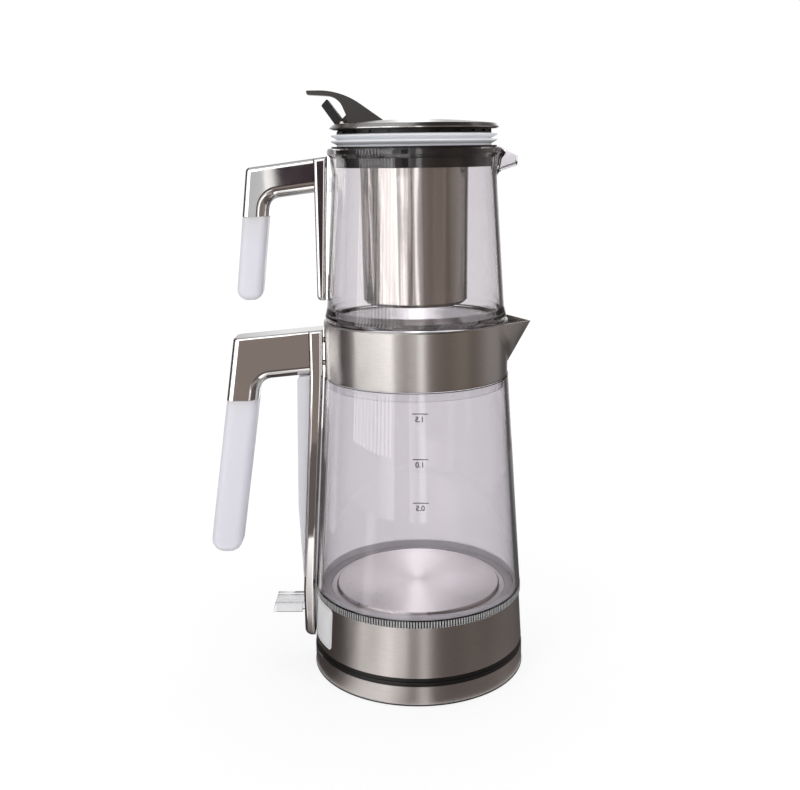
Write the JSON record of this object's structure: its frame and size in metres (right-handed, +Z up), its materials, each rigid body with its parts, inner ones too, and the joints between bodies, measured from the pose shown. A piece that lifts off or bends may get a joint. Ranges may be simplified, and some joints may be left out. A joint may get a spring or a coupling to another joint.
{
  "type": "automatic tea maker",
  "caption": "Two-tier electric tea maker: glass kettle on a round power base, glass teapot with steel infuser basket in its mouth, hinged lid, frosted grips and a clear lever switch.",
  "frame": {"origin": "on the table under the vessels' common axis, at the centre of the foot ring's underside", "axes": "+Z up along the vessels' common axis; +X towards both spouts, so both handles point to -X; +Y towards the back, where the cord leaves the base"},
  "size_m": [0.2263, 0.1516, 0.4031],
  "materials": {
    "foot_rubber": "matt",
    "base_black": "fine satin",
    "plated_screw": "plated",
    "brushed_steel": "brushed round the axis",
    "connector_black": "matt",
    "contact_brass": "bright",
    "ribbed_clear": "clear moulded",
    "plate_steel": "fine brushed",
    "silicone_clear": "satin",
    "spreader_aluminium": "cast",
    "element_steel": "dull",
    "control_plastic": "matt",
    "kettle_glass": "clear",
    "chrome": "mirror plated",
    "frosted_plastic": "frosted, translucent",
    "switch_clear": "clear",
    "pot_glass": "clear",
    "infuser_black": "satin",
    "basket_steel": "polished",
    "silicone_grey": "matt",
    "lid_black": "satin",
    "lid_steel": "brushed round the axis",
    "lever_plastic": "satin"
  },
  "bodies": {
    "base": {"base_foot_ring": "foot_rubber", "base_pan": "base_black", "base_screws": "plated_screw", "base_trim_ring": "brushed_steel", "base_cover": "base_black", "base_connector": "connector_black", "base_contacts": "contact_brass"},
    "coupler": {"kettle_socket": "connector_black"},
    "kettle": {"kettle_bottom": "base_black", "kettle_shroud": "brushed_steel", "ribbed_ring": "ribbed_clear", "heating_plate": "plate_steel", "plate_seal": "silicone_clear", "heat_spreader": "spreader_aluminium", "heater_element": "element_steel", "boil_control": "control_plastic", "kettle_glass": "kettle_glass", "collar_gasket": "silicone_clear", "kettle_collar": "brushed_steel", "kettle_spout": "brushed_steel", "handle_spine": "chrome", "spine_back": "frosted_plastic", "kettle_arm": "chrome", "kettle_grip": "frosted_plastic", "clamp_screws": "plated_screw", "switch_pin": "plated_screw", "switch_box": "control_plastic", "steam_tube": "silicone_clear"},
    "switch": {"switch_lever": "switch_clear"},
    "teapot": {"pot_glass": "pot_glass", "pot_bar": "chrome", "pot_bond": "silicone_clear", "pot_arm": "chrome", "pot_grip": "frosted_plastic"},
    "infuser": {"infuser_ring": "infuser_black", "infuser_basket": "basket_steel"},
    "lid": {"lid_seal": "silicone_grey", "lid_plug": "lid_black", "lid_hinge_pin": "plated_screw"},
    "lid_cap": {"lid_liner": "lid_black", "lid_disc": "lid_steel", "thumb_lever": "lever_plastic"}
  },
  "joints": [
    {"name": "kettle_lift", "type": "slide", "parent": "base", "child": "coupler", "axis": [0, 0, 1], "range_m": [0, 0.06]},
    {"name": "kettle_swivel", "type": "hinge", "parent": "coupler", "child": "kettle", "pos_m": [0, 0, 0.03], "axis": [0, 0, 1], "continuous": true},
    {"name": "switch_tilt", "type": "hinge", "parent": "kettle", "child": "switch", "pos_m": [-0.07855, 0, 0.043], "axis": [0, -1, 0], "range_deg": [0, 10]},
    {"name": "teapot_lift", "type": "slide", "parent": "kettle", "child": "teapot", "axis": [0, 0, 1], "range_m": [0, 0.08]},
    {"name": "infuser_lift", "type": "slide", "parent": "teapot", "child": "infuser", "axis": [0, 0, 1], "range_m": [0, 0.11]},
    {"name": "lid_lift", "type": "slide", "parent": "infuser", "child": "lid", "axis": [0, 0, 1], "range_m": [0, 0.04]},
    {"name": "lid_open", "type": "hinge", "parent": "lid", "child": "lid_cap", "pos_m": [-0.047, 0, 0.3822], "axis": [0, -1, 0], "range_deg": [0, 5]}
  ]
}
